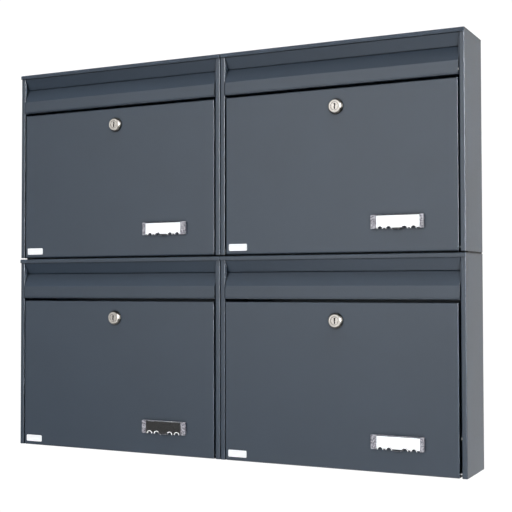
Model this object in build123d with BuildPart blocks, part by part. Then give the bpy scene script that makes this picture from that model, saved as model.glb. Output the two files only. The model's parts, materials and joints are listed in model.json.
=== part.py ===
"""Wall-hung cluster mailbox unit: four sheet-metal boxes, two across and two high.

Row frame: the origin is on the wall plane, in the middle of the wall screws. X runs across
the unit, Y runs into the wall and Z is up. One box is modelled about its own origin (middle
of its width, wall plane, underside) and its pieces are then written once for each box.
"""

from math import cos, radians, sin
import os

from build123d import *

# Driving dimensions, in mm
BOX_PITCH = 370.0  # one box across, roof edge to roof edge
BOX_HEIGHT = 299.0  # underside to the top of the roof
ROW_GAP = 2.2  # between a lower roof and the box above it
DEPTH = 89.0  # wall plane to the casing's front flange
BODY_WIDTH = 368.8  # over a casing's side walls
SHEET = 1.0  # steel sheet
BEND = 1.0  # bend radius at the sheet's middle line
RUNNING = 0.05  # radial clearance of every pin in its hole

# Casing
FLANGE_WIDTH = 7.2
RETURN_DEPTH = 14.0
RETURN_BEND = 0.6
WALL_HOLE_R = 3.5
WALL_HOLE_SPACING = (300.0, 220.0)
WALL_HOLE_CENTRE_Z = 150.0

# Roof
ROOF_WIDTH = BODY_WIDTH + 0.4
ROOF_LIP = 5.9
ROOF_OVERHANG = 1.5
ROOF_CORNER_R = 0.6
ROOF_TAB = (327.0, 12.0)
ROOF_SIDE_TAB = (60.0, 9.0)
TAB_CLEARANCE = 0.1

# Bottom pan and the gasket under an upper box
PAN_RISE = 8.0
GASKET_WIDTH = 5.0

# Slot rail and flap, heights measured down from the roof's top
CREASE_DROP = 44.3
RAIL_DROP = 63.1
RAIL_PROUD = 1.0
RAIL_TOP_DROP = 23.9
RAIL_TOP_INSET = 8.5
RAIL_END_GAP = 1.3
RAIL_FOOT_DEPTH = 14.0
RAIL_FOOT_BEND = 2.6
RAIL_LIP = 8.0
FLAP_ROD_R = 1.5
FLAP_ROD_INSET = 3.5
FLAP_ROD_DROP = 6.5
ROD_END_PLAY = 0.5
FLAP_SLANT = 24.4
FLAP_LENGTH = 17.3
FLAP_END_GAP = 0.4
HEM_RISE = 5.0
HEM_GAP = 1.4
HEM_BEND = 0.6
SILL = (3.0, 3.2)
END_PLATE_INSET = 2.2
STOP_CLEARANCE = 0.25

# Door
DOOR_TOP_DROP = 67.1
DOOR_BOTTOM = -0.3
DOOR_BOTTOM_BEND = 2.6
DOOR_RIM_BEND = 1.1
DOOR_GAP = 2.4
DOOR_FLANGE = 12.0
HINGE_PIN_R = 1.5
HINGE_INSET = 5.0
HINGE_Z = 5.5
HINGE_HEAD_R = 3.0
HINGE_HEAD = 1.2
HINGE_PIN_INSIDE = 3.5
CLIP_GAP = 0.2
CLIP_THICKNESS = 0.6

# Cam lock
LOCK_Z = 206.2
LOCK_COLLAR_R = 11.0
LOCK_FACE_R = 8.6
LOCK_RIM = 1.4
LOCK_PROUD = 5.6
LOCK_BODY_R = 8.0
LOCK_BODY_FLAT = 6.9
BARREL_HEAD_R = 6.1
BARREL_R = 5.4
BARREL_HEAD_DEPTH = 3.0
KEY_SLOT = (2.3, 8.6, 12.0)
KEY_WARD = (0.8, 1.3)
CAM_SET_BACK = 14.5
CAM_THICKNESS = 2.0
CAM_REACH = 38.0
CAM_WIDTH = 15.0
CAM_SQUARE = 7.0
NUT_FLATS_R = 12.0
NUT_THICKNESS = 3.0
CAM_SCREW_R = 2.0
CAM_SCREW_HEAD_R = 5.2
CAM_SCREW_HEAD = 3.0
CAM_SCREW_LENGTH = 6.5

# Name holder, its card and the door label
HOLDER_AT = (90.0, 41.5)
HOLDER_SIZE = (75.5, 4.5, 19.5)
HOLDER_WINDOW = 1.2
HOLDER_POCKET = (66.0, 16.9)
POCKET_RAISE = 0.1
CLIP_WIDTH = 6.0
NOTCH_R = 3.6
NOTCH_RIM = 0.9
NOTCH_AT = (11.4, 23.9)
RIM_PROUD = 0.5
THUMB_LIP = (12.8, 1.6)
PIP_R = 1.1
PIP_AT = (35.0, 2.1)
CARD_SIZE = (61.5, 0.4, 16.4)
CARD_NOTCH_PLAY = 0.2
PEG_R = 1.5
PEG_X = 30.5
PEG_LENGTH = 5.0
LABEL_SIZE = (29.8, 0.2, 10.1)
LABEL_INSET = 4.6
LABEL_BOTTOM = 5.4
LABEL_CORNER = 1.5

# Coupling hardware
BOLT_R = 2.5
BOLT_HEAD_R = 4.2
BOLT_HEAD = 2.8
BOLT_SOCKET_R = 1.7
BOLT_TIP = 1.5
COUPLING_NUT_R = 4.6
COUPLING_NUT = 4.0
COUPLING_HOLE_R = 2.75
COUPLING_Y = -43.0
COUPLING_Z = (75.0, 225.0)
STACK_X = 100.0

# Worked-out places in a box's own frame
HALF_BODY = BODY_WIDTH / 2
HALF_OPENING = HALF_BODY - FLANGE_WIDTH
HALF_DOOR = HALF_OPENING - DOOR_GAP
HALF_RAIL = HALF_OPENING - RAIL_END_GAP
HALF_SHEET = SHEET / 2
OUTER_BEND = BEND + HALF_SHEET
CASING_HEIGHT = BOX_HEIGHT - SHEET
DOOR_TOP = BOX_HEIGHT - DOOR_TOP_DROP
HINGE_Y = -DEPTH + HINGE_INSET
ROD_Y = -DEPTH + FLAP_ROD_INSET
ROD_Z = BOX_HEIGHT - FLAP_ROD_DROP
ROW_PITCH = BOX_HEIGHT + ROW_GAP
COUPLING_GAP = BOX_PITCH - BODY_WIDTH

UPPER_Z = ROW_PITCH / 2 - WALL_HOLE_CENTRE_Z
LOWER_Z = UPPER_Z - ROW_PITCH

BOXES = {
    "upper_left": (-BOX_PITCH / 2, 0, UPPER_Z),
    "upper_right": (BOX_PITCH / 2, 0, UPPER_Z),
    "lower_left": (-BOX_PITCH / 2, 0, LOWER_Z),
    "lower_right": (BOX_PITCH / 2, 0, LOWER_Z),
}
# Each door hangs a little off centre on its pins, within its side gaps
DOOR_SHIFT = {"upper_left": 0.0, "upper_right": 0.1, "lower_left": -0.5, "lower_right": -1.2}
DOORS = {name: (x + DOOR_SHIFT[name], y, z) for name, (x, y, z) in BOXES.items()}
CARD_SHIFT = {"upper_left": -1.5, "upper_right": 1.5, "lower_left": 0.0, "lower_right": 1.5}

os.makedirs("parts", exist_ok=True)


def write(piece, name, *places):
    """Write one node: a copy of the piece at each place."""
    with BuildPart() as node:
        with Locations(*places):
            add(piece)
    node.part.label = name
    export_step(node.part, f"parts/{name}.step")


def folded_sheet(plane, *points, bends=BEND):
    """Return the section of a sheet folded along a middle line, with one or more bend radii."""
    with BuildSketch(plane) as section:
        with BuildLine():
            FilletPolyline(*points, radius=bends)
        trace(line_width=SHEET)
    return section.sketch


def side_plane(x=0.0):
    """A plane whose own X is the row's Y and whose own Y is the row's Z, facing +X."""
    return Plane(origin=(x, 0, 0), x_dir=(0, 1, 0), z_dir=(1, 0, 0))


def wall_plane(y=0.0):
    """A plane parallel to the wall whose own Y is the row's Z, facing the viewer."""
    return Plane(origin=(0, y, 0), x_dir=(1, 0, 0), z_dir=(0, -1, 0))


# Casing: one sheet wrapped round the back, the sides, the front flanges and their returns
wrap_side = HALF_BODY - HALF_SHEET
wrap_front = -DEPTH + HALF_SHEET
wrap_return = HALF_OPENING + HALF_SHEET
return_end = -DEPTH + RETURN_DEPTH


def build_casing(seam_side):
    """One casing; seam_side is +1 where the neighbour stands on its +X side."""
    with BuildPart() as casing:
        extrude(
            folded_sheet(
                Plane.XY,
                (-wrap_return, return_end),
                (-wrap_return, wrap_front),
                (-wrap_side, wrap_front),
                (-wrap_side, -HALF_SHEET),
                (wrap_side, -HALF_SHEET),
                (wrap_side, wrap_front),
                (wrap_return, wrap_front),
                (wrap_return, return_end),
                bends=(RETURN_BEND, BEND, BEND, BEND, BEND, RETURN_BEND),
            ),
            amount=CASING_HEIGHT,
        )
        # Screw holes through the back
        with BuildSketch(wall_plane()):
            with Locations((0, WALL_HOLE_CENTRE_Z)):
                with GridLocations(*WALL_HOLE_SPACING, 2, 2):
                    Circle(WALL_HOLE_R)
        extrude(amount=SHEET, mode=Mode.SUBTRACT)
        # Bolt holes in the side that faces the next column
        with BuildSketch(side_plane(seam_side * wrap_side)):
            with Locations(*[(COUPLING_Y, z) for z in COUPLING_Z]):
                Circle(COUPLING_HOLE_R)
        extrude(amount=SHEET, both=True, mode=Mode.SUBTRACT)
        # Bearing holes for the door pins and the flap rod in both returns
        for side in (-1, 1):
            with BuildSketch(side_plane(side * wrap_return)):
                with Locations((HINGE_Y, HINGE_Z)):
                    Circle(HINGE_PIN_R + RUNNING)
                with Locations((ROD_Y, ROD_Z)):
                    Circle(FLAP_ROD_R + RUNNING)
            extrude(amount=SHEET, both=True, mode=Mode.SUBTRACT)
    return casing.part


write(build_casing(1), "upper_left_casing", BOXES["upper_left"])
write(build_casing(1), "lower_left_casing", BOXES["lower_left"])
write(build_casing(-1), "upper_right_casing", BOXES["upper_right"])
write(build_casing(-1), "lower_right_casing", BOXES["lower_right"])


# Roof: a flat cap with a lip in front, weld tabs inside the side walls and one inside the back
roof_front = -DEPTH - ROOF_OVERHANG + HALF_SHEET
side_tab_x = HALF_BODY - SHEET - TAB_CLEARANCE - HALF_SHEET
side_tab_y = -DEPTH / 2 + TAB_CLEARANCE


def build_roof(bolted):
    """One roof; the lower ones are drilled for the box that is bolted on top."""
    with BuildPart() as roof:
        extrude(
            folded_sheet(
                side_plane(-ROOF_WIDTH / 2),
                (roof_front, BOX_HEIGHT - ROOF_LIP),
                (roof_front, BOX_HEIGHT - HALF_SHEET),
                (0, BOX_HEIGHT - HALF_SHEET),
            ),
            amount=ROOF_WIDTH,
        )
        side_rims = roof.faces().sort_by(Axis.Z)[-1].edges().filter_by(Axis.Y)
        fillet(side_rims, radius=ROOF_CORNER_R)
        with BuildSketch(Plane.XY.offset(CASING_HEIGHT)):
            with Locations((-side_tab_x, side_tab_y), (side_tab_x, side_tab_y)):
                Rectangle(SHEET, ROOF_SIDE_TAB[0])
        extrude(amount=-ROOF_SIDE_TAB[1])
        with BuildSketch(wall_plane(-SHEET)):
            with Locations((0, CASING_HEIGHT - ROOF_TAB[1] / 2)):
                Rectangle(*ROOF_TAB)
        extrude(amount=SHEET)
        if bolted:
            with BuildSketch(Plane.XY.offset(CASING_HEIGHT)):
                with Locations((-STACK_X, COUPLING_Y), (STACK_X, COUPLING_Y)):
                    Circle(COUPLING_HOLE_R)
            extrude(amount=SHEET, mode=Mode.SUBTRACT)
    return roof.part


for box_name, place in BOXES.items():
    write(build_roof(box_name.startswith("lower")), f"{box_name}_roof", place)

# Bottom pan: a tray between the casing's sides and back, clear of the door's swing
pan_width = BODY_WIDTH - 2 * SHEET
pan_front = return_end + SHEET
pan_depth = -SHEET - pan_front


def build_pan(bolted):
    """One bottom pan; the upper ones are drilled for the roof below."""
    with BuildPart() as pan:
        with BuildSketch():
            with Locations((0, pan_front + pan_depth / 2)):
                Rectangle(pan_width, pan_depth)
        extrude(amount=PAN_RISE)
        fillet(pan.edges().filter_by(Axis.Z), radius=OUTER_BEND)
        offset(amount=-SHEET, openings=pan.faces().sort_by(Axis.Z)[-1])
        if bolted:
            with BuildSketch():
                with Locations((-STACK_X, COUPLING_Y), (STACK_X, COUPLING_Y)):
                    Circle(COUPLING_HOLE_R)
            extrude(amount=SHEET, mode=Mode.SUBTRACT)
    return pan.part


with BuildPart() as bottom_pans:
    with Locations(BOXES["lower_left"], BOXES["lower_right"]):
        add(build_pan(False))
    with Locations(BOXES["upper_left"], BOXES["upper_right"]):
        add(build_pan(True))
bottom_pans.part.label = "bottom_pans"
export_step(bottom_pans.part, "parts/bottom_pans.step")

# Row gasket: a foam frame that closes the gap under an upper box
with BuildPart() as row_gasket:
    with BuildSketch(Plane.XY.offset(-ROW_GAP)):
        with Locations((0, pan_front + pan_depth / 2)):
            Rectangle(pan_width, pan_depth)
            Rectangle(
                pan_width - 2 * GASKET_WIDTH, pan_depth - 2 * GASKET_WIDTH, mode=Mode.SUBTRACT
            )
    extrude(amount=ROW_GAP)

write(row_gasket.part, "row_gaskets", BOXES["upper_left"], BOXES["upper_right"])

# Slot rail: slanted guide, vertical face and a foot that the lock's cam hooks behind
rail_front = -DEPTH - RAIL_PROUD + HALF_SHEET
rail_bottom = BOX_HEIGHT - RAIL_DROP + HALF_SHEET
rail_top_y = -DEPTH + RAIL_TOP_INSET
rail_top_z = BOX_HEIGHT - RAIL_TOP_DROP
crease_z = BOX_HEIGHT - CREASE_DROP
foot_end = rail_front + RAIL_FOOT_DEPTH

slant = radians(FLAP_SLANT)


def flap_point(along, across):
    """A point on the flap's section: along its slant and out from the rod's centre."""
    y = ROD_Y + along * sin(slant) - across * cos(slant)
    z = ROD_Z - along * cos(slant) - across * sin(slant)
    return (y, z)


knuckle_r = FLAP_ROD_R + RUNNING + SHEET
stop_across = knuckle_r + STOP_CLEARANCE

with BuildPart() as slot_rail:
    extrude(
        folded_sheet(
            side_plane(-HALF_RAIL),
            (foot_end, rail_bottom + RAIL_LIP),
            (foot_end, rail_bottom),
            (rail_front, rail_bottom),
            (rail_front, crease_z),
            (rail_top_y, rail_top_z),
            (rail_top_y + SILL[0], rail_top_z - SILL[1]),
            bends=(BEND, RAIL_FOOT_BEND, BEND, HEM_BEND),
        ),
        amount=2 * HALF_RAIL,
    )
    # End plates, welded to the casing's returns; a finger in front of the flap stops it
    for end_x in (-HALF_OPENING, HALF_RAIL):
        with BuildSketch(side_plane(end_x)):
            with BuildLine():
                Polyline(
                    (rail_front + END_PLATE_INSET, rail_bottom - HALF_SHEET),
                    (foot_end + HALF_SHEET, rail_bottom - HALF_SHEET),
                    (foot_end + HALF_SHEET, rail_bottom + RAIL_LIP),
                    (rail_top_y + SILL[0], rail_top_z - SILL[1]),
                    flap_point(FLAP_LENGTH + SHEET, stop_across),
                    flap_point(knuckle_r * 2, stop_across),
                    (rail_front + END_PLATE_INSET, ROD_Z - knuckle_r * 2),
                    close=True,
                )
            make_face()
        extrude(amount=RAIL_END_GAP)

# Flap: a sheet rolled round its rod at the top and hemmed at its lower edge
flap_half = HALF_OPENING - FLAP_END_GAP
flap_middle = knuckle_r - HALF_SHEET
with BuildPart() as flap:
    extrude(
        folded_sheet(
            side_plane(-flap_half),
            flap_point(0, flap_middle),
            flap_point(FLAP_LENGTH, flap_middle),
            flap_point(FLAP_LENGTH, flap_middle - HEM_GAP),
            flap_point(FLAP_LENGTH - HEM_RISE, flap_middle - HEM_GAP),
            bends=HEM_BEND,
        ),
        amount=2 * flap_half,
    )
    with BuildSketch(side_plane(-flap_half)):
        with Locations((ROD_Y, ROD_Z)):
            Circle(knuckle_r)
    extrude(amount=2 * flap_half)
    with BuildSketch(side_plane(-flap_half)):
        with Locations((ROD_Y, ROD_Z)):
            Circle(knuckle_r - SHEET)
    extrude(amount=2 * flap_half, mode=Mode.SUBTRACT)

# Flap rod: held between the casing's side walls
rod_half = HALF_BODY - SHEET - ROD_END_PLAY
with BuildPart() as flap_rod:
    with BuildSketch(side_plane(-rod_half)):
        with Locations((ROD_Y, ROD_Z)):
            Circle(FLAP_ROD_R)
    extrude(amount=2 * rod_half)
    chamfer(flap_rod.edges().filter_by(GeomType.CIRCLE), length=0.4)

# Door: a shallow pan, open at the back, pierced for the lock, the pegs and the pins
door_height = DOOR_TOP - DOOR_BOTTOM
with BuildPart() as door:
    with BuildSketch(wall_plane(-DEPTH + DOOR_FLANGE)):
        with Locations((0, DOOR_BOTTOM + door_height / 2)):
            Rectangle(2 * HALF_DOOR, door_height)
    extrude(amount=DOOR_FLANGE)
    front_rim = door.faces().sort_by(Axis.Y)[0].edges()
    foot_rim = front_rim.sort_by(Axis.Z)[0]
    fillet(foot_rim, radius=DOOR_BOTTOM_BEND)
    front_rim = door.faces().sort_by(Axis.Y)[0].edges()
    fillet(front_rim.sort_by(Axis.Z)[1:], radius=DOOR_RIM_BEND)
    offset(amount=-SHEET, openings=door.faces().sort_by(Axis.Y)[-1])
    with BuildSketch(wall_plane(-DEPTH)):
        with Locations((0, LOCK_Z)):
            Circle(LOCK_BODY_R + 2 * RUNNING)
            Rectangle(
                2 * (LOCK_BODY_FLAT + 2 * RUNNING), 3 * LOCK_BODY_R, mode=Mode.INTERSECT
            )
    extrude(amount=-SHEET, mode=Mode.SUBTRACT)
    with BuildSketch(wall_plane(-DEPTH)):
        with Locations(
            (HOLDER_AT[0] - PEG_X, HOLDER_AT[1]), (HOLDER_AT[0] + PEG_X, HOLDER_AT[1])
        ):
            Circle(PEG_R + RUNNING)
    extrude(amount=-SHEET, mode=Mode.SUBTRACT)
    for wall_x in (-HALF_DOOR, HALF_DOOR - SHEET):
        with BuildSketch(side_plane(wall_x)):
            with Locations((HINGE_Y, HINGE_Z)):
                Circle(HINGE_PIN_R + RUNNING)
        extrude(amount=SHEET, mode=Mode.SUBTRACT)

# Hinge pins: headed, from behind each return into the door's side
pin_inner = HALF_DOOR - SHEET - HINGE_PIN_INSIDE
head_start = HALF_OPENING + SHEET + 0.1
with BuildPart() as hinge_pins:
    for side in (-1, 1):
        with BuildSketch(side_plane(side * pin_inner)):
            with Locations((HINGE_Y, HINGE_Z)):
                Circle(HINGE_PIN_R)
        extrude(amount=side * (head_start - pin_inner))
        with BuildSketch(side_plane(side * head_start)):
            with Locations((HINGE_Y, HINGE_Z)):
                Circle(HINGE_HEAD_R)
        extrude(amount=side * HINGE_HEAD)

# Hinge clips: push-on rings that keep the pins in, just inside the door's sides
with BuildPart() as hinge_clips:
    for side in (-1, 1):
        with BuildSketch(side_plane(side * (HALF_DOOR - SHEET - CLIP_GAP))):
            with Locations((HINGE_Y, HINGE_Z)):
                Circle(HINGE_HEAD_R)
                Circle(HINGE_PIN_R + RUNNING, mode=Mode.SUBTRACT)
        extrude(amount=-side * CLIP_THICKNESS)

# Lock housing: turned collar in front of the door, flatted body through it
face_y = -DEPTH - LOCK_PROUD
cam_front = -DEPTH + CAM_SET_BACK
cam_back = cam_front + CAM_THICKNESS
with BuildPart() as lock_housing:
    with BuildSketch(side_plane()):
        with BuildLine():
            Polyline((-DEPTH, 0), (face_y, 0), (face_y, LOCK_FACE_R))
            ThreePointArc(
                (face_y, LOCK_FACE_R),
                (face_y + 1.9, LOCK_FACE_R + 1.5),
                (-DEPTH - LOCK_RIM, LOCK_COLLAR_R),
            )
            Polyline(
                (-DEPTH - LOCK_RIM, LOCK_COLLAR_R), (-DEPTH, LOCK_COLLAR_R), (-DEPTH, 0)
            )
        make_face()
    revolve(axis=Axis.Y)
    with BuildSketch(wall_plane(-DEPTH)):
        Circle(LOCK_BODY_R)
        Rectangle(2 * LOCK_BODY_FLAT, 3 * LOCK_BODY_R, mode=Mode.INTERSECT)
    extrude(amount=-(cam_front + DEPTH - 0.3))
    with BuildSketch(wall_plane(face_y)):
        Circle(BARREL_R + RUNNING)
    extrude(amount=-(cam_front - face_y), mode=Mode.SUBTRACT)
    with BuildSketch(wall_plane(face_y)):
        Circle(BARREL_HEAD_R + RUNNING)
    extrude(amount=-(BARREL_HEAD_DEPTH + 0.3), mode=Mode.SUBTRACT)

# Lock barrel: keyed head, round body and a square tail for the cam
barrel_front = face_y + 0.2
with BuildPart() as lock_barrel:
    with BuildSketch(wall_plane(barrel_front)):
        Circle(BARREL_HEAD_R)
    extrude(amount=-BARREL_HEAD_DEPTH)
    chamfer(lock_barrel.edges().filter_by(GeomType.CIRCLE).sort_by(Axis.Y)[0], length=0.5)
    with BuildSketch(wall_plane(barrel_front)):
        Circle(BARREL_R)
    extrude(amount=-(cam_front - barrel_front))
    with BuildSketch(wall_plane(cam_front)):
        Rectangle(CAM_SQUARE, CAM_SQUARE)
    extrude(amount=-(CAM_THICKNESS - 0.1))
    with BuildSketch(wall_plane(barrel_front)):
        SlotOverall(KEY_SLOT[1], KEY_SLOT[0], rotation=90)
        with Locations((-KEY_SLOT[0] / 2, KEY_WARD[1]), (KEY_SLOT[0] / 2, -KEY_WARD[1])):
            Rectangle(2 * KEY_WARD[0], KEY_WARD[1], mode=Mode.SUBTRACT)
    extrude(amount=-KEY_SLOT[2], mode=Mode.SUBTRACT)
    with BuildSketch(wall_plane(cam_back)):
        Circle(CAM_SCREW_R + RUNNING)
    extrude(amount=CAM_SCREW_LENGTH + 0.5, mode=Mode.SUBTRACT)

# Cam: a plate with rounded ends, pointing sideways when unlocked
with BuildPart() as lock_cam:
    with BuildSketch(wall_plane(cam_back)):
        Circle(CAM_WIDTH / 2 + 1.5)
        with Locations((-CAM_REACH / 2 + CAM_WIDTH / 4, 0)):
            SlotOverall(CAM_REACH + CAM_WIDTH / 2, CAM_WIDTH)
        Rectangle(CAM_SQUARE + 2 * RUNNING, CAM_SQUARE + 2 * RUNNING, mode=Mode.SUBTRACT)
    extrude(amount=CAM_THICKNESS)

# Cam screw: hexagon head behind the cam, shank in the barrel's tail
with BuildPart() as cam_screw:
    with BuildSketch(wall_plane(cam_back)):
        RegularPolygon(CAM_SCREW_HEAD_R, 6)
    extrude(amount=-CAM_SCREW_HEAD)
    with BuildSketch(wall_plane(cam_back)):
        Circle(CAM_SCREW_R)
    extrude(amount=CAM_SCREW_LENGTH)
    chamfer(cam_screw.faces().sort_by(Axis.Y)[-1].edges(), length=0.5)

# Lock nut: clamps the housing from behind the door
nut_front = -DEPTH + SHEET
with BuildPart() as lock_nut:
    with BuildSketch(wall_plane(nut_front)):
        RegularPolygon(NUT_FLATS_R, 6, major_radius=False)
        Circle(LOCK_BODY_R + RUNNING, mode=Mode.SUBTRACT)
    extrude(amount=-NUT_THICKNESS)
    chamfer(lock_nut.faces().sort_by(Axis.Y)[-1].outer_wire().edges(), length=0.5)

# Name holder: clear cover with a card pocket, scalloped lower edge and two pegs
holder_front = -DEPTH - HOLDER_SIZE[1]
holder_foot = -HOLDER_SIZE[2] / 2
card_back = holder_front + HOLDER_WINDOW + CARD_SIZE[1]
clip_front = card_back + 0.1
notch_places = [(side * x, holder_foot) for side in (-1, 1) for x in NOTCH_AT]
with BuildPart() as name_holder:
    with BuildSketch(wall_plane(-DEPTH)):
        RectangleRounded(HOLDER_SIZE[0], HOLDER_SIZE[2], 1.2)
    extrude(amount=HOLDER_SIZE[1])
    fillet(name_holder.faces().sort_by(Axis.Y)[0].edges(), radius=0.6)
    with BuildSketch(wall_plane(-DEPTH)):
        with Locations((0, POCKET_RAISE)):
            Rectangle(*HOLDER_POCKET)
    extrude(amount=HOLDER_SIZE[1] - HOLDER_WINDOW, mode=Mode.SUBTRACT)
    # Clips behind the card's ends, carrying the pegs
    with BuildSketch(wall_plane(-DEPTH)):
        with Locations((-PEG_X, POCKET_RAISE), (PEG_X, POCKET_RAISE)):
            Rectangle(CLIP_WIDTH, HOLDER_POCKET[1])
    extrude(amount=-DEPTH - clip_front)
    with BuildSketch(wall_plane(-DEPTH)):
        with Locations((-PEG_X, 0), (PEG_X, 0)):
            Circle(PEG_R)
    extrude(amount=-PEG_LENGTH)
    # Half-round notches with walled rims along the lower edge, and a thumb lip
    with BuildSketch(wall_plane(-DEPTH)):
        with Locations(*notch_places):
            Circle(NOTCH_R + NOTCH_RIM)
        with Locations((0, holder_foot / 2)):
            Rectangle(HOLDER_SIZE[0], -holder_foot, mode=Mode.INTERSECT)
    extrude(amount=HOLDER_SIZE[1] + RIM_PROUD)
    with BuildSketch(wall_plane(-DEPTH)):
        with Locations(*notch_places):
            Circle(NOTCH_R)
    extrude(amount=2 * HOLDER_SIZE[1], mode=Mode.SUBTRACT)
    with BuildSketch(wall_plane(-DEPTH)):
        with Locations((0, holder_foot)):
            SlotOverall(*THUMB_LIP)
    extrude(amount=HOLDER_SIZE[1] + RIM_PROUD)
    # Grip pips at both ends
    with BuildSketch(wall_plane(holder_front)):
        with GridLocations(2 * PIP_AT[0], 2 * PIP_AT[1], 2, 2):
            Circle(PIP_R)
    extrude(amount=0.4)


def build_card(shift):
    """A card pushed sideways in its pocket, cut out round the holder's notches."""
    with BuildPart() as card:
        with BuildSketch(wall_plane(card_back)):
            with Locations((shift, POCKET_RAISE)):
                Rectangle(CARD_SIZE[0], CARD_SIZE[2])
            with Locations(*notch_places):
                Circle(NOTCH_R + NOTCH_RIM + CARD_NOTCH_PLAY, mode=Mode.SUBTRACT)
        extrude(amount=CARD_SIZE[1])
    return card.part


label_x = -HALF_DOOR + LABEL_INSET + LABEL_SIZE[0] / 2
label_z = LABEL_BOTTOM + LABEL_SIZE[2] / 2
with BuildPart() as door_label:
    with BuildSketch(wall_plane(-DEPTH)):
        with Locations((label_x, label_z)):
            RectangleRounded(LABEL_SIZE[0], LABEL_SIZE[2], LABEL_CORNER)
    extrude(amount=LABEL_SIZE[1])

for box_name, box_place in BOXES.items():
    door_x, door_y, door_z = door_place = DOORS[box_name]
    lock_place = (door_x, door_y, door_z + LOCK_Z)
    holder_place = (door_x + HOLDER_AT[0], door_y, door_z + HOLDER_AT[1])
    write(slot_rail.part, f"{box_name}_slot_rail", box_place)
    write(flap.part, f"{box_name}_flap", box_place)
    write(door.part, f"{box_name}_door", door_place)
    write(lock_housing.part, f"{box_name}_lock_housing", lock_place)
    write(lock_nut.part, f"{box_name}_lock_nut", lock_place)
    write(lock_barrel.part, f"{box_name}_lock_barrel", lock_place)
    write(lock_cam.part, f"{box_name}_lock_cam", lock_place)
    write(cam_screw.part, f"{box_name}_cam_screw", lock_place)
    write(name_holder.part, f"{box_name}_name_holder", holder_place)
    write(build_card(CARD_SHIFT[box_name]), f"{box_name}_name_card", holder_place)
    write(door_label.part, f"{box_name}_door_label", door_place)

write(flap_rod.part, "flap_rods", *BOXES.values())
write(hinge_pins.part, "door_hinge_pins", *BOXES.values())
write(hinge_clips.part, "door_hinge_clips", *DOORS.values())

# Coupling hardware: bolts through a spacer and two sheets, side to side and row to row


def bolt_set(gap):
    """Bolt, nut and spacer along +Z for two sheets with a gap between them."""
    reach = gap / 2 + SHEET
    with BuildPart() as bolt:
        with BuildSketch(Plane.XY.offset(reach)):
            Circle(BOLT_HEAD_R)
        extrude(amount=BOLT_HEAD)
        fillet(bolt.faces().sort_by(Axis.Z)[-1].edges(), radius=1.2)
        with BuildSketch(Plane.XY.offset(reach + BOLT_HEAD)):
            RegularPolygon(BOLT_SOCKET_R, 6)
        extrude(amount=-BOLT_SOCKET_R, mode=Mode.SUBTRACT)
        with BuildSketch(Plane.XY.offset(reach)):
            Circle(BOLT_R)
        extrude(amount=-(2 * reach + COUPLING_NUT + BOLT_TIP))
    with BuildPart() as nut:
        with BuildSketch(Plane.XY.offset(-reach)):
            RegularPolygon(COUPLING_NUT_R, 6)
            Circle(BOLT_R + RUNNING, mode=Mode.SUBTRACT)
        extrude(amount=-COUPLING_NUT)
    with BuildPart() as spacer:
        with BuildSketch(Plane.XY.offset(-gap / 2)):
            Circle(BOLT_HEAD_R + 1)
            Circle(COUPLING_HOLE_R, mode=Mode.SUBTRACT)
        extrude(amount=gap)
    return bolt.part, nut.part, spacer.part


side_places = [
    Location((0, COUPLING_Y, row_z + hole_z), (0, -90, 0))
    for row_z in (LOWER_Z, UPPER_Z)
    for hole_z in COUPLING_Z
]
stack_places = [
    Location((side * BOX_PITCH / 2 + hole_x, COUPLING_Y, UPPER_Z - ROW_GAP / 2))
    for side in (-1, 1)
    for hole_x in (-STACK_X, STACK_X)
]
side_set = bolt_set(COUPLING_GAP)
stack_set = bolt_set(ROW_GAP)
for kind, side_piece, stack_piece in zip(("bolts", "nuts", "spacers"), side_set, stack_set):
    with BuildPart() as hardware:
        with Locations(*side_places):
            add(side_piece)
        with Locations(*stack_places):
            add(stack_piece)
    hardware.part.label = f"coupling_{kind}"
    export_step(hardware.part, f"parts/coupling_{kind}.step")
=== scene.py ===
"""Looks of the wall-hung cluster mailbox unit: materials, fine detail, light and camera."""

import json
import math

import bpy
from mathutils import Euler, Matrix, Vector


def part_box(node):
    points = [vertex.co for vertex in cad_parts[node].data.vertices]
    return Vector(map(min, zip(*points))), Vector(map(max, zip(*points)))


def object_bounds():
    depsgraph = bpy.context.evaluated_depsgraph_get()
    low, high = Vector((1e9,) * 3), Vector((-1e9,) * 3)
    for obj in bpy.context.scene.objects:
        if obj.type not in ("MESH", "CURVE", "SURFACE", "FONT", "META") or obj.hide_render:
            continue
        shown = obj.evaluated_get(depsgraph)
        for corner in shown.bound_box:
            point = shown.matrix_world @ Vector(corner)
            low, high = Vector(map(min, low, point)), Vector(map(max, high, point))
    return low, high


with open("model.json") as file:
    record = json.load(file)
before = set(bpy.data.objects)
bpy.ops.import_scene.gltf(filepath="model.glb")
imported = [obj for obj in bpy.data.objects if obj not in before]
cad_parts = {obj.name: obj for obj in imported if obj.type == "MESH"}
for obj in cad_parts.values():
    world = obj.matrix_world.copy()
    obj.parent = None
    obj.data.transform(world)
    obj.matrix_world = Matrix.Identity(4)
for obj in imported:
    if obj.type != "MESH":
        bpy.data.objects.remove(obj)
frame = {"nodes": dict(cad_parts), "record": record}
cad_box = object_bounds()

MM = 0.001
BOXES = ("upper_left", "upper_right", "lower_left", "lower_right")


# ---------------------------------------------------------------- materials

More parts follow.
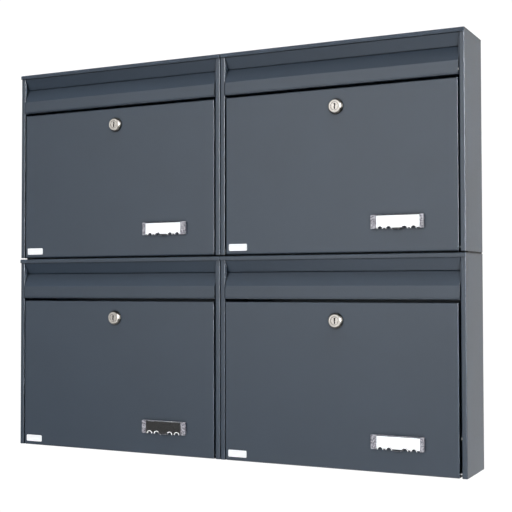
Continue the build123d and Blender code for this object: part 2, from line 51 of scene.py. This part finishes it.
class Shader:
    """A node tree that is built by naming nodes and their inputs."""

    def __init__(self, name):
        self.material = bpy.data.materials.new(name)
        self.material.use_nodes = True
        self.tree = self.material.node_tree
        self.principled = self.tree.nodes["Principled BSDF"]
        self.output = self.tree.nodes["Material Output"]

    def node(self, kind, **settings):
        """Add a node. A setting is a property, or an input given as a value or a socket."""
        node = self.tree.nodes.new(kind)
        for key, value in settings.items():
            if hasattr(node, key):
                setattr(node, key, value)
            else:
                self.feed(node, key.replace("_", " "), value)
        return node

    def feed(self, node, key, value):
        """Set an input by its name or number, from a value or another node's socket."""
        if isinstance(key, int):
            socket = node.inputs[key]
        else:
            socket = next(s for s in node.inputs if s.name.lower() == key.lower() and s.enabled)
        if isinstance(value, bpy.types.NodeSocket):
            self.tree.links.new(value, socket)
        else:
            socket.default_value = value

    def math(self, operation, *values):
        """A math node on values or sockets."""
        node = self.node("ShaderNodeMath", operation=operation)
        for number, value in enumerate(values):
            self.feed(node, number, value)
        return node.outputs[0]

    def vector(self, operation, *values):
        """A vector math node on values or sockets; returns the node."""
        node = self.node("ShaderNodeVectorMath", operation=operation)
        for number, value in enumerate(values):
            self.feed(node, number, value)
        return node

    def span(self, factor, low, high):
        """Low where the factor is 0, high where it is 1, in proportion between."""
        return self.math("MULTIPLY_ADD", factor, high - low, low)

    def soft_step(self, value, outer, inner):
        """0 at outer, 1 at inner, smooth between; outer may be the larger."""
        node = self.node("ShaderNodeMapRange", interpolation_type="SMOOTHSTEP", clamp=True)
        self.feed(node, "Value", value)
        self.feed(node, "From Min", outer)
        self.feed(node, "From Max", inner)
        return node.outputs["Result"]

    def ramp(self, factor, *stops):
        """A colour ramp through (position, colour) stops."""
        node = self.node("ShaderNodeValToRGB", Fac=factor)
        elements = node.color_ramp.elements
        while len(elements) < len(stops):
            elements.new(0.5)
        for element, (position, colour) in zip(elements, stops):
            element.position = position
            element.color = (*colour, 1.0)
        return node.outputs[0]

    def blend(self, factor, colour_a, colour_b):
        """Colour a where the factor is 0, colour b where it is 1."""
        node = self.node("ShaderNodeMix", data_type="RGBA")
        self.feed(node, "Factor", factor)
        self.feed(node, "A", colour_a)
        self.feed(node, "B", colour_b)
        return node.outputs["Result"]

    def scaled(self, colour, factor):
        """A colour socket times a factor."""
        node = self.vector("SCALE", colour)
        self.feed(node, "Scale", factor)
        return node.outputs[0]

    def layered(self, factor, shader_a, shader_b):
        """Surface a where the factor is 0, surface b where it is 1."""
        node = self.node("ShaderNodeMixShader")
        for number, value in enumerate((factor, shader_a, shader_b)):
            self.feed(node, number, value)
        return node.outputs[0]

    def place(self):
        """Position in the row frame, in metres."""
        return self.node("ShaderNodeTexCoord").outputs["Object"]

    def split(self, vector):
        """The X, Y and Z outputs of a vector, by name."""
        return self.node("ShaderNodeSeparateXYZ", Vector=vector).outputs

    def noise(self, scale, detail=2.0, roughness=0.5):
        """Noise with a scale in features per metre."""
        node = self.node("ShaderNodeTexNoise", Vector=self.place(), Scale=scale, Detail=detail)
        self.feed(node, "Roughness", roughness)
        return node.outputs[0]

    def rounded(self, radius):
        """A normal that turns over an edge as if it were rounded to the radius (m)."""
        return self.node("ShaderNodeBevel", samples=4, Radius=radius).outputs[0]

    def edge(self, rounded):
        """1 at an edge, where the rounded normal leaves the flat one."""
        flat = self.node("ShaderNodeNewGeometry").outputs["Normal"]
        agree = self.vector("DOT_PRODUCT", rounded, flat).outputs["Value"]
        return self.soft_step(agree, 0.999, 0.90)

    def recess(self, reach):
        """0 deep in a gap or fold that is narrower than the reach (m), 1 in the open."""
        open_sky = self.node("ShaderNodeAmbientOcclusion", samples=6, Distance=reach)
        return self.soft_step(open_sky.outputs["AO"], 0.35, 0.90)

    def bump(self, height, strength, distance, normal=None):
        """Bump the surface by a height socket; distance is in metres."""
        node = self.node("ShaderNodeBump", Height=height, Strength=strength, Distance=distance)
        if normal is not None:
            self.feed(node, "Normal", normal)
        return node.outputs["Normal"]

    def surface(self, **inputs):
        """Feed the principled shader and return the material."""
        for key, value in inputs.items():
            self.feed(self.principled, key.replace("_", " "), value)
        return self.material


class SkyShader(Shader):
    """The world's node tree."""

    def __init__(self, name):
        self.world = bpy.data.worlds.new(name)
        self.world.use_nodes = True
        self.tree = self.world.node_tree
        self.background = self.tree.nodes["Background"]


def tinted(colour, factor):
    """A colour scaled by a factor."""
    return [min(1.0, channel * factor) for channel in colour]


def powder_coat(name, tone, roughness):
    """Matt powder coat: fine grain, faint orange peel, edges painted paler in patches as a
    highlight, painted shade in gaps and folds.
    """
    shader = Shader(name)
    cloud = shader.noise(11.0, 4.0)
    colour = shader.ramp(cloud, (0.30, tinted(tone, 0.95)), (0.70, tinted(tone, 1.05)))
    rounded = shader.rounded(0.7 * MM)
    # Painted highlight: in patches, the edges are drawn paler, for the light that the rounded
    # folds catch.
    patchy = shader.soft_step(shader.noise(55.0, 3.0), 0.35, 0.75)
    edge_highlight = shader.math("MULTIPLY", shader.edge(rounded), patchy)
    edge_highlit = shader.blend(shader.math("MULTIPLY", edge_highlight, 0.5), colour, (*tinted(tone, 1.9), 1.0))
    # Painted shade: colour and reflection darken in gaps and folds narrower than 7 mm.
    painted_recess_shade = shader.span(shader.recess(7 * MM), 0.2, 1.0)
    peel = shader.noise(420.0, 1.0)
    grain = shader.noise(2600.0, 2.0)
    height = shader.math("MULTIPLY_ADD", peel, 1.6, grain)
    return shader.surface(
        Base_Color=shader.scaled(edge_highlit, painted_recess_shade),
        Roughness=shader.span(shader.noise(900.0), roughness - 0.05, roughness + 0.05),
        Specular_IOR_Level=shader.math("MULTIPLY", painted_recess_shade, 0.5),
        IOR=1.5,
        Normal=shader.bump(height, 0.30, 0.04 * MM, rounded),
    )


def turning_rings(shader, centre, pitch):
    """A wave in the distance from an axis along Y through the centre (x, z)."""
    place = shader.split(shader.place())
    across = shader.math("SUBTRACT", place["X"], centre[0])
    up = shader.math("SUBTRACT", place["Z"], centre[1])
    squares = shader.math("MULTIPLY_ADD", across, across, shader.math("MULTIPLY", up, up))
    radius = shader.math("SQRT", squares)
    return shader.math("SINE", shader.math("MULTIPLY", radius, 2 * math.pi / pitch))


def plated_metal(name, colour, roughness, centre=None):
    """Plated metal with painted shade on its flanks and in recesses: turned about a centre (x,
    z), or satin without one.
    """
    shader = Shader(name)
    rounded = shader.rounded(0.3 * MM)
    if centre is None:
        height = shader.noise(900.0, 3.0)
        strength = 0.15
    else:
        height = turning_rings(shader, centre, 0.25 * MM)
        strength = 0.10
    blotch = shader.noise(260.0, 3.0)
    tone = shader.ramp(blotch, (0.3, tinted(colour, 0.95)), (0.7, tinted(colour, 1.04)))
    smear = shader.span(blotch, roughness - 0.07, roughness + 0.07)
    # Painted shade: the colour darkens in recesses and on the flanks that face away from the
    # front.
    painted_recess_shade = shader.span(shader.recess(4 * MM), 0.12, 1.0)
    front = shader.soft_step(shader.math("ABSOLUTE", shader.split(rounded)["Y"]), 0.55, 0.90)
    shade = shader.math("MULTIPLY", painted_recess_shade, shader.span(front, 0.30, 1.0))
    return shader.surface(
        Base_Color=shader.scaled(tone, shade),
        Metallic=1.0,
        Roughness=shader.math("MULTIPLY_ADD", shader.edge(rounded), 0.10, smear),
        Normal=shader.bump(height, strength, 0.03 * MM, rounded),
    )


def clear_plastic(name, card_box, rim_y):
    """Clear plastic over the card; its solid ends look milky, its walls are drawn milky and its
    notches' edges white and emitting light, as a painted highlight.
    """
    shader = Shader(name)
    shader.surface(
        Base_Color=(0.95, 0.97, 0.98, 1.0),
        Roughness=shader.span(shader.noise(500.0, 3.0), 0.02, 0.08),
        IOR=1.49,
        Transmission_Weight=1.0,
        Normal=shader.bump(shader.noise(160.0, 2.0), 0.15, 0.2 * MM),
    )
    place = shader.split(shader.place())
    centre_x = (card_box[0].x + card_box[1].x) / 2
    half_card = (card_box[1].x - card_box[0].x) / 2
    across = shader.math("ABSOLUTE", shader.math("SUBTRACT", place["X"], centre_x))
    ends = shader.soft_step(across, half_card - 0.1 * MM, half_card + 0.1 * MM)
    # Painted highlight: the proud edge round each notch, clear of the thumb lip, is drawn white
    # and gives off light.
    proud = shader.soft_step(place["Y"], rim_y + 0.1 * MM, rim_y)
    beyond_thumb_lip = shader.soft_step(across, 7.5 * MM, 8.5 * MM)
    rim_highlight = shader.math("MULTIPLY", proud, beyond_thumb_lip)
    rounded = shader.rounded(0.4 * MM)
    # Painted highlight: the walls, where the surface turns away from the front, are drawn milky
    # like the solid ends.
    walls = shader.soft_step(shader.math("ABSOLUTE", shader.split(rounded)["Y"]), 0.5, 0.2)
    milky = shader.math("MAXIMUM", shader.math("MAXIMUM", ends, rim_highlight), walls)
    ribs = shader.noise(500.0, 2.0)
    pale = shader.ramp(ribs, (0.40, (0.16, 0.15, 0.18)), (0.60, (0.56, 0.56, 0.62)))
    body = shader.node("ShaderNodeBsdfPrincipled", Roughness=0.25, Normal=rounded)
    # White colour and emission on the notch edges: painted highlight.
    shader.feed(body, "Base Color", shader.blend(rim_highlight, pale, (0.95, 0.95, 0.95, 1.0)))
    shader.feed(body, "Emission Color", (1.0, 1.0, 1.0, 1.0))
    shader.feed(body, "Emission Strength", shader.math("MULTIPLY", rim_highlight, 0.6))
    moulded = shader.layered(milky, shader.principled.outputs[0], body.outputs[0])
    clear = shader.node("ShaderNodeBsdfTransparent", Color=(0.93, 0.95, 0.96, 1.0))
    path = shader.node("ShaderNodeLightPath").outputs
    passing = shader.math("MAXIMUM", path["Is Shadow Ray"], path["Is Diffuse Ray"])
    lit_through = shader.layered(passing, moulded, clear.outputs[0])
    shader.feed(shader.output, "Surface", lit_through)
    return shader.material


def card(name, colour, roughness=0.55, painted_glow=0.0):
    """Card or film with a faint fibre mottle; its emission strength is painted light that makes
    white paper brighter.
    """
    shader = Shader(name)
    fibre = shader.noise(1800.0, 3.0)
    tone = shader.ramp(fibre, (0.3, tinted(colour, 0.96)), (0.7, tinted(colour, 1.02)))
    return shader.surface(
        Base_Color=tone,
        Roughness=shader.span(fibre, roughness - 0.05, roughness + 0.05),
        Emission_Color=tone,
        Emission_Strength=painted_glow,
        Normal=shader.bump(fibre, 0.2, 0.02 * MM),
    )


def nylon(name):
    """Natural nylon: milky, a little light passes into it."""
    shader = Shader(name)
    speck = shader.noise(700.0, 2.0)
    return shader.surface(
        Base_Color=shader.ramp(speck, (0.3, (0.80, 0.80, 0.77)), (0.7, (0.88, 0.88, 0.86))),
        Roughness=shader.span(speck, 0.4, 0.5),
        Subsurface_Weight=0.15,
        Subsurface_Radius=(MM, MM, MM),
        Normal=shader.bump(speck, 0.1, 0.03 * MM),
    )


def foam(name):
    """Black foam rubber with open cells."""
    shader = Shader(name)
    cells = shader.node("ShaderNodeTexVoronoi", Vector=shader.place(), Scale=1500.0).outputs[0]
    return shader.surface(
        Base_Color=shader.ramp(cells, (0.0, (0.006, 0.006, 0.006)), (0.8, (0.03, 0.03, 0.03))),
        Roughness=0.9,
        Normal=shader.bump(cells, 0.6, 0.3 * MM),
    )


# Anthracite grey; the two roofs on top of the unit get a darker, duller copy of the coat, painted
# shade that darkens their front lips.
COAT_TONE = (0.030, 0.047, 0.072)
TOP_ROOFS = ("upper_left_roof", "upper_right_roof")
shaded_roof_coat = powder_coat("shaded_roof_coat", tinted(COAT_TONE, 0.9), 0.58)

COLLAR_NICKEL = (0.40, 0.38, 0.35)
BARREL_NICKEL = (0.37, 0.35, 0.325)

# The record's material slots; nickel and clear plastic are made for each box further down.
finishes = {
    "powder_coat": powder_coat("powder_coat", COAT_TONE, 0.34),
    "zinc_steel": plated_metal("zinc_steel", (0.62, 0.63, 0.65), 0.32),
    # White card and label film give off a little light of their own: painted light that brightens
    # them.
    "white_card": card("white_card", (0.94, 0.94, 0.94), painted_glow=0.45),
    "dark_card": card("dark_card", (0.012, 0.010, 0.010)),
    "label_film": card("label_film", (0.90, 0.92, 0.94), 0.35, painted_glow=0.25),
    "nylon": nylon("white_nylon"),
    "foam_rubber": foam("foam_rubber"),
}


def assign(node, material):
    """Give the whole of a CAD node one material."""
    slots = frame["nodes"][node].data.materials
    slots.clear()
    slots.append(material)


for part in frame["record"]["subparts"]:
    if part["material_slot"] in finishes:
        assign(part["node"], finishes[part["material_slot"]])

# The top roofs take the darker copy of the coat: painted shade.
for roof in TOP_ROOFS:
    assign(roof, shaded_roof_coat)

for box in BOXES:
    low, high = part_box(f"{box}_lock_housing")
    centre = ((low.x + high.x) / 2, (low.z + high.z) / 2)
    collar = plated_metal(f"{box}_nickel_collar", COLLAR_NICKEL, 0.38, centre)
    barrel = plated_metal(f"{box}_nickel_barrel", BARREL_NICKEL, 0.28, centre)
    assign(f"{box}_lock_housing", collar)
    assign(f"{box}_lock_barrel", barrel)
    card_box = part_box(f"{box}_name_card")
    rim_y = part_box(f"{box}_name_holder")[0].y
    assign(f"{box}_name_holder", clear_plastic(f"{box}_clear_plastic", card_box, rim_y))


# ---------------------------------------------------------------- stage

ROOM_LEVEL = 0.05
BACKDROP_LEVEL = 1.05
# Soft patches of light round the object: azimuth (0 is the front, 90 the right side) and
# elevation, half width and half height, their soft edges, all in degrees, then the level
# in diffuse and in glossy light.
PATCHES = (
    ((3.0, 12.0), (39.0, 19.0), (20.0, 10.0), 1.85, 2.95),
    ((0.0, 44.0), (50.0, 6.0), (20.0, 8.0), 0.20, 1.35),
    ((10.0, -30.0), (43.0, 11.0), (14.0, 12.0), 1.00, 1.90),
    ((15.0, -60.0), (90.0, 5.0), (8.0, 5.0), 0.60, 9.00),
    ((0.0, 76.0), (90.0, 10.0), (10.0, 6.0), 12.00, 0.40),
    ((180.0, 0.0), (85.0, 60.0), (12.0, 12.0), 0.10, 0.85),
    ((66.0, 14.0), (8.0, 14.0), (4.0, 9.0), 0.00, 80.0),
)


def patch(shader, ray, aim, half_size, edges):
    """1 for rays within a patch of the sky, 0 outside it, smooth over its edges; in degrees."""
    turn = math.radians(aim[0])
    level_ray = shader.vector("NORMALIZE", shader.vector("MULTIPLY", ray, (1, 1, 0)).outputs[0])
    towards = (math.sin(turn), -math.cos(turn), 0.0)
    along = shader.vector("DOT_PRODUCT", level_ray.outputs[0], towards).outputs["Value"]
    rise = shader.math("ARCSINE", shader.split(ray)["Z"])
    aside = shader.math("ARCCOSINE", along)
    above = shader.math("ABSOLUTE", shader.math("SUBTRACT", rise, math.radians(aim[1])))
    across, up = (
        shader.soft_step(away, math.radians(half + edge), math.radians(half - edge))
        for away, half, edge in zip((aside, above), half_size, edges)
    )
    return shader.math("MULTIPLY", across, up)


def sky():
    """White to the camera; the object is lit by a dim room with soft bright patches."""
    shader = SkyShader("studio")
    ray = shader.node("ShaderNodeTexCoord").outputs["Generated"]
    path = shader.node("ShaderNodeLightPath").outputs
    light = ROOM_LEVEL
    for aim, half_size, edges, diffuse, glossy in PATCHES:
        level = shader.span(path["Is Diffuse Ray"], glossy, diffuse)
        inside = patch(shader, ray, aim, half_size, edges)
        light = shader.math("MULTIPLY_ADD", inside, level, light)
    shown = shader.node("ShaderNodeMix", data_type="FLOAT")
    shader.feed(shown, "Factor", path["Is Camera Ray"])
    shader.feed(shown, "A", light)
    shader.feed(shown, "B", BACKDROP_LEVEL)
    shader.feed(shader.background, "Color", (1.0, 1.0, 1.0, 1.0))
    shader.feed(shader.background, "Strength", shown.outputs["Result"])
    shader.world.cycles.sampling_method = "NONE"
    bpy.context.scene.world = shader.world


FLOOR_DROP = 0.9
FLOOR_RADIUS = 1.9
FLOOR_SIDES = 96


def floor():
    """A plain pale round floor, well below the wall-hung unit."""
    low, high = cad_box
    height = low[2] - FLOOR_DROP
    middle = (low[1] + high[1]) / 2
    ring = [
        (FLOOR_RADIUS * math.cos(turn), middle + FLOOR_RADIUS * math.sin(turn), height)
        for turn in (2 * math.pi * step / FLOOR_SIDES for step in range(FLOOR_SIDES))
    ]
    mesh = bpy.data.meshes.new("floor")
    mesh.from_pydata(ring, [], [list(range(FLOOR_SIDES))])
    slab = bpy.data.objects.new("floor", mesh)
    bpy.context.scene.collection.objects.link(slab)
    shader = Shader("floor")
    shade = shader.ramp(shader.noise(3.0), (0.0, (0.86, 0.86, 0.86)), (1.0, (0.90, 0.90, 0.90)))
    mesh.materials.append(shader.surface(Base_Color=shade, Roughness=0.8))
    slab.visible_diffuse = False
    slab.visible_glossy = False


CAMERA_LENS = 73.96
CAMERA_PLACE = (0.7376, -1.4596, -0.0466)
CAMERA_TURN = (91.67, 0.10, 26.33)


def camera():
    """The camera at the photograph's viewing angle: from the front right, at mid height."""
    data = bpy.data.cameras.new("camera")
    data.lens = CAMERA_LENS
    data.clip_start = 0.05
    viewer = bpy.data.objects.new("camera", data)
    viewer.location = CAMERA_PLACE
    viewer.rotation_euler = Euler([math.radians(turn) for turn in CAMERA_TURN])
    bpy.context.scene.collection.objects.link(viewer)
    bpy.context.scene.camera = viewer


sky()
floor()
camera()
bpy.context.scene.view_settings.view_transform = "Standard"
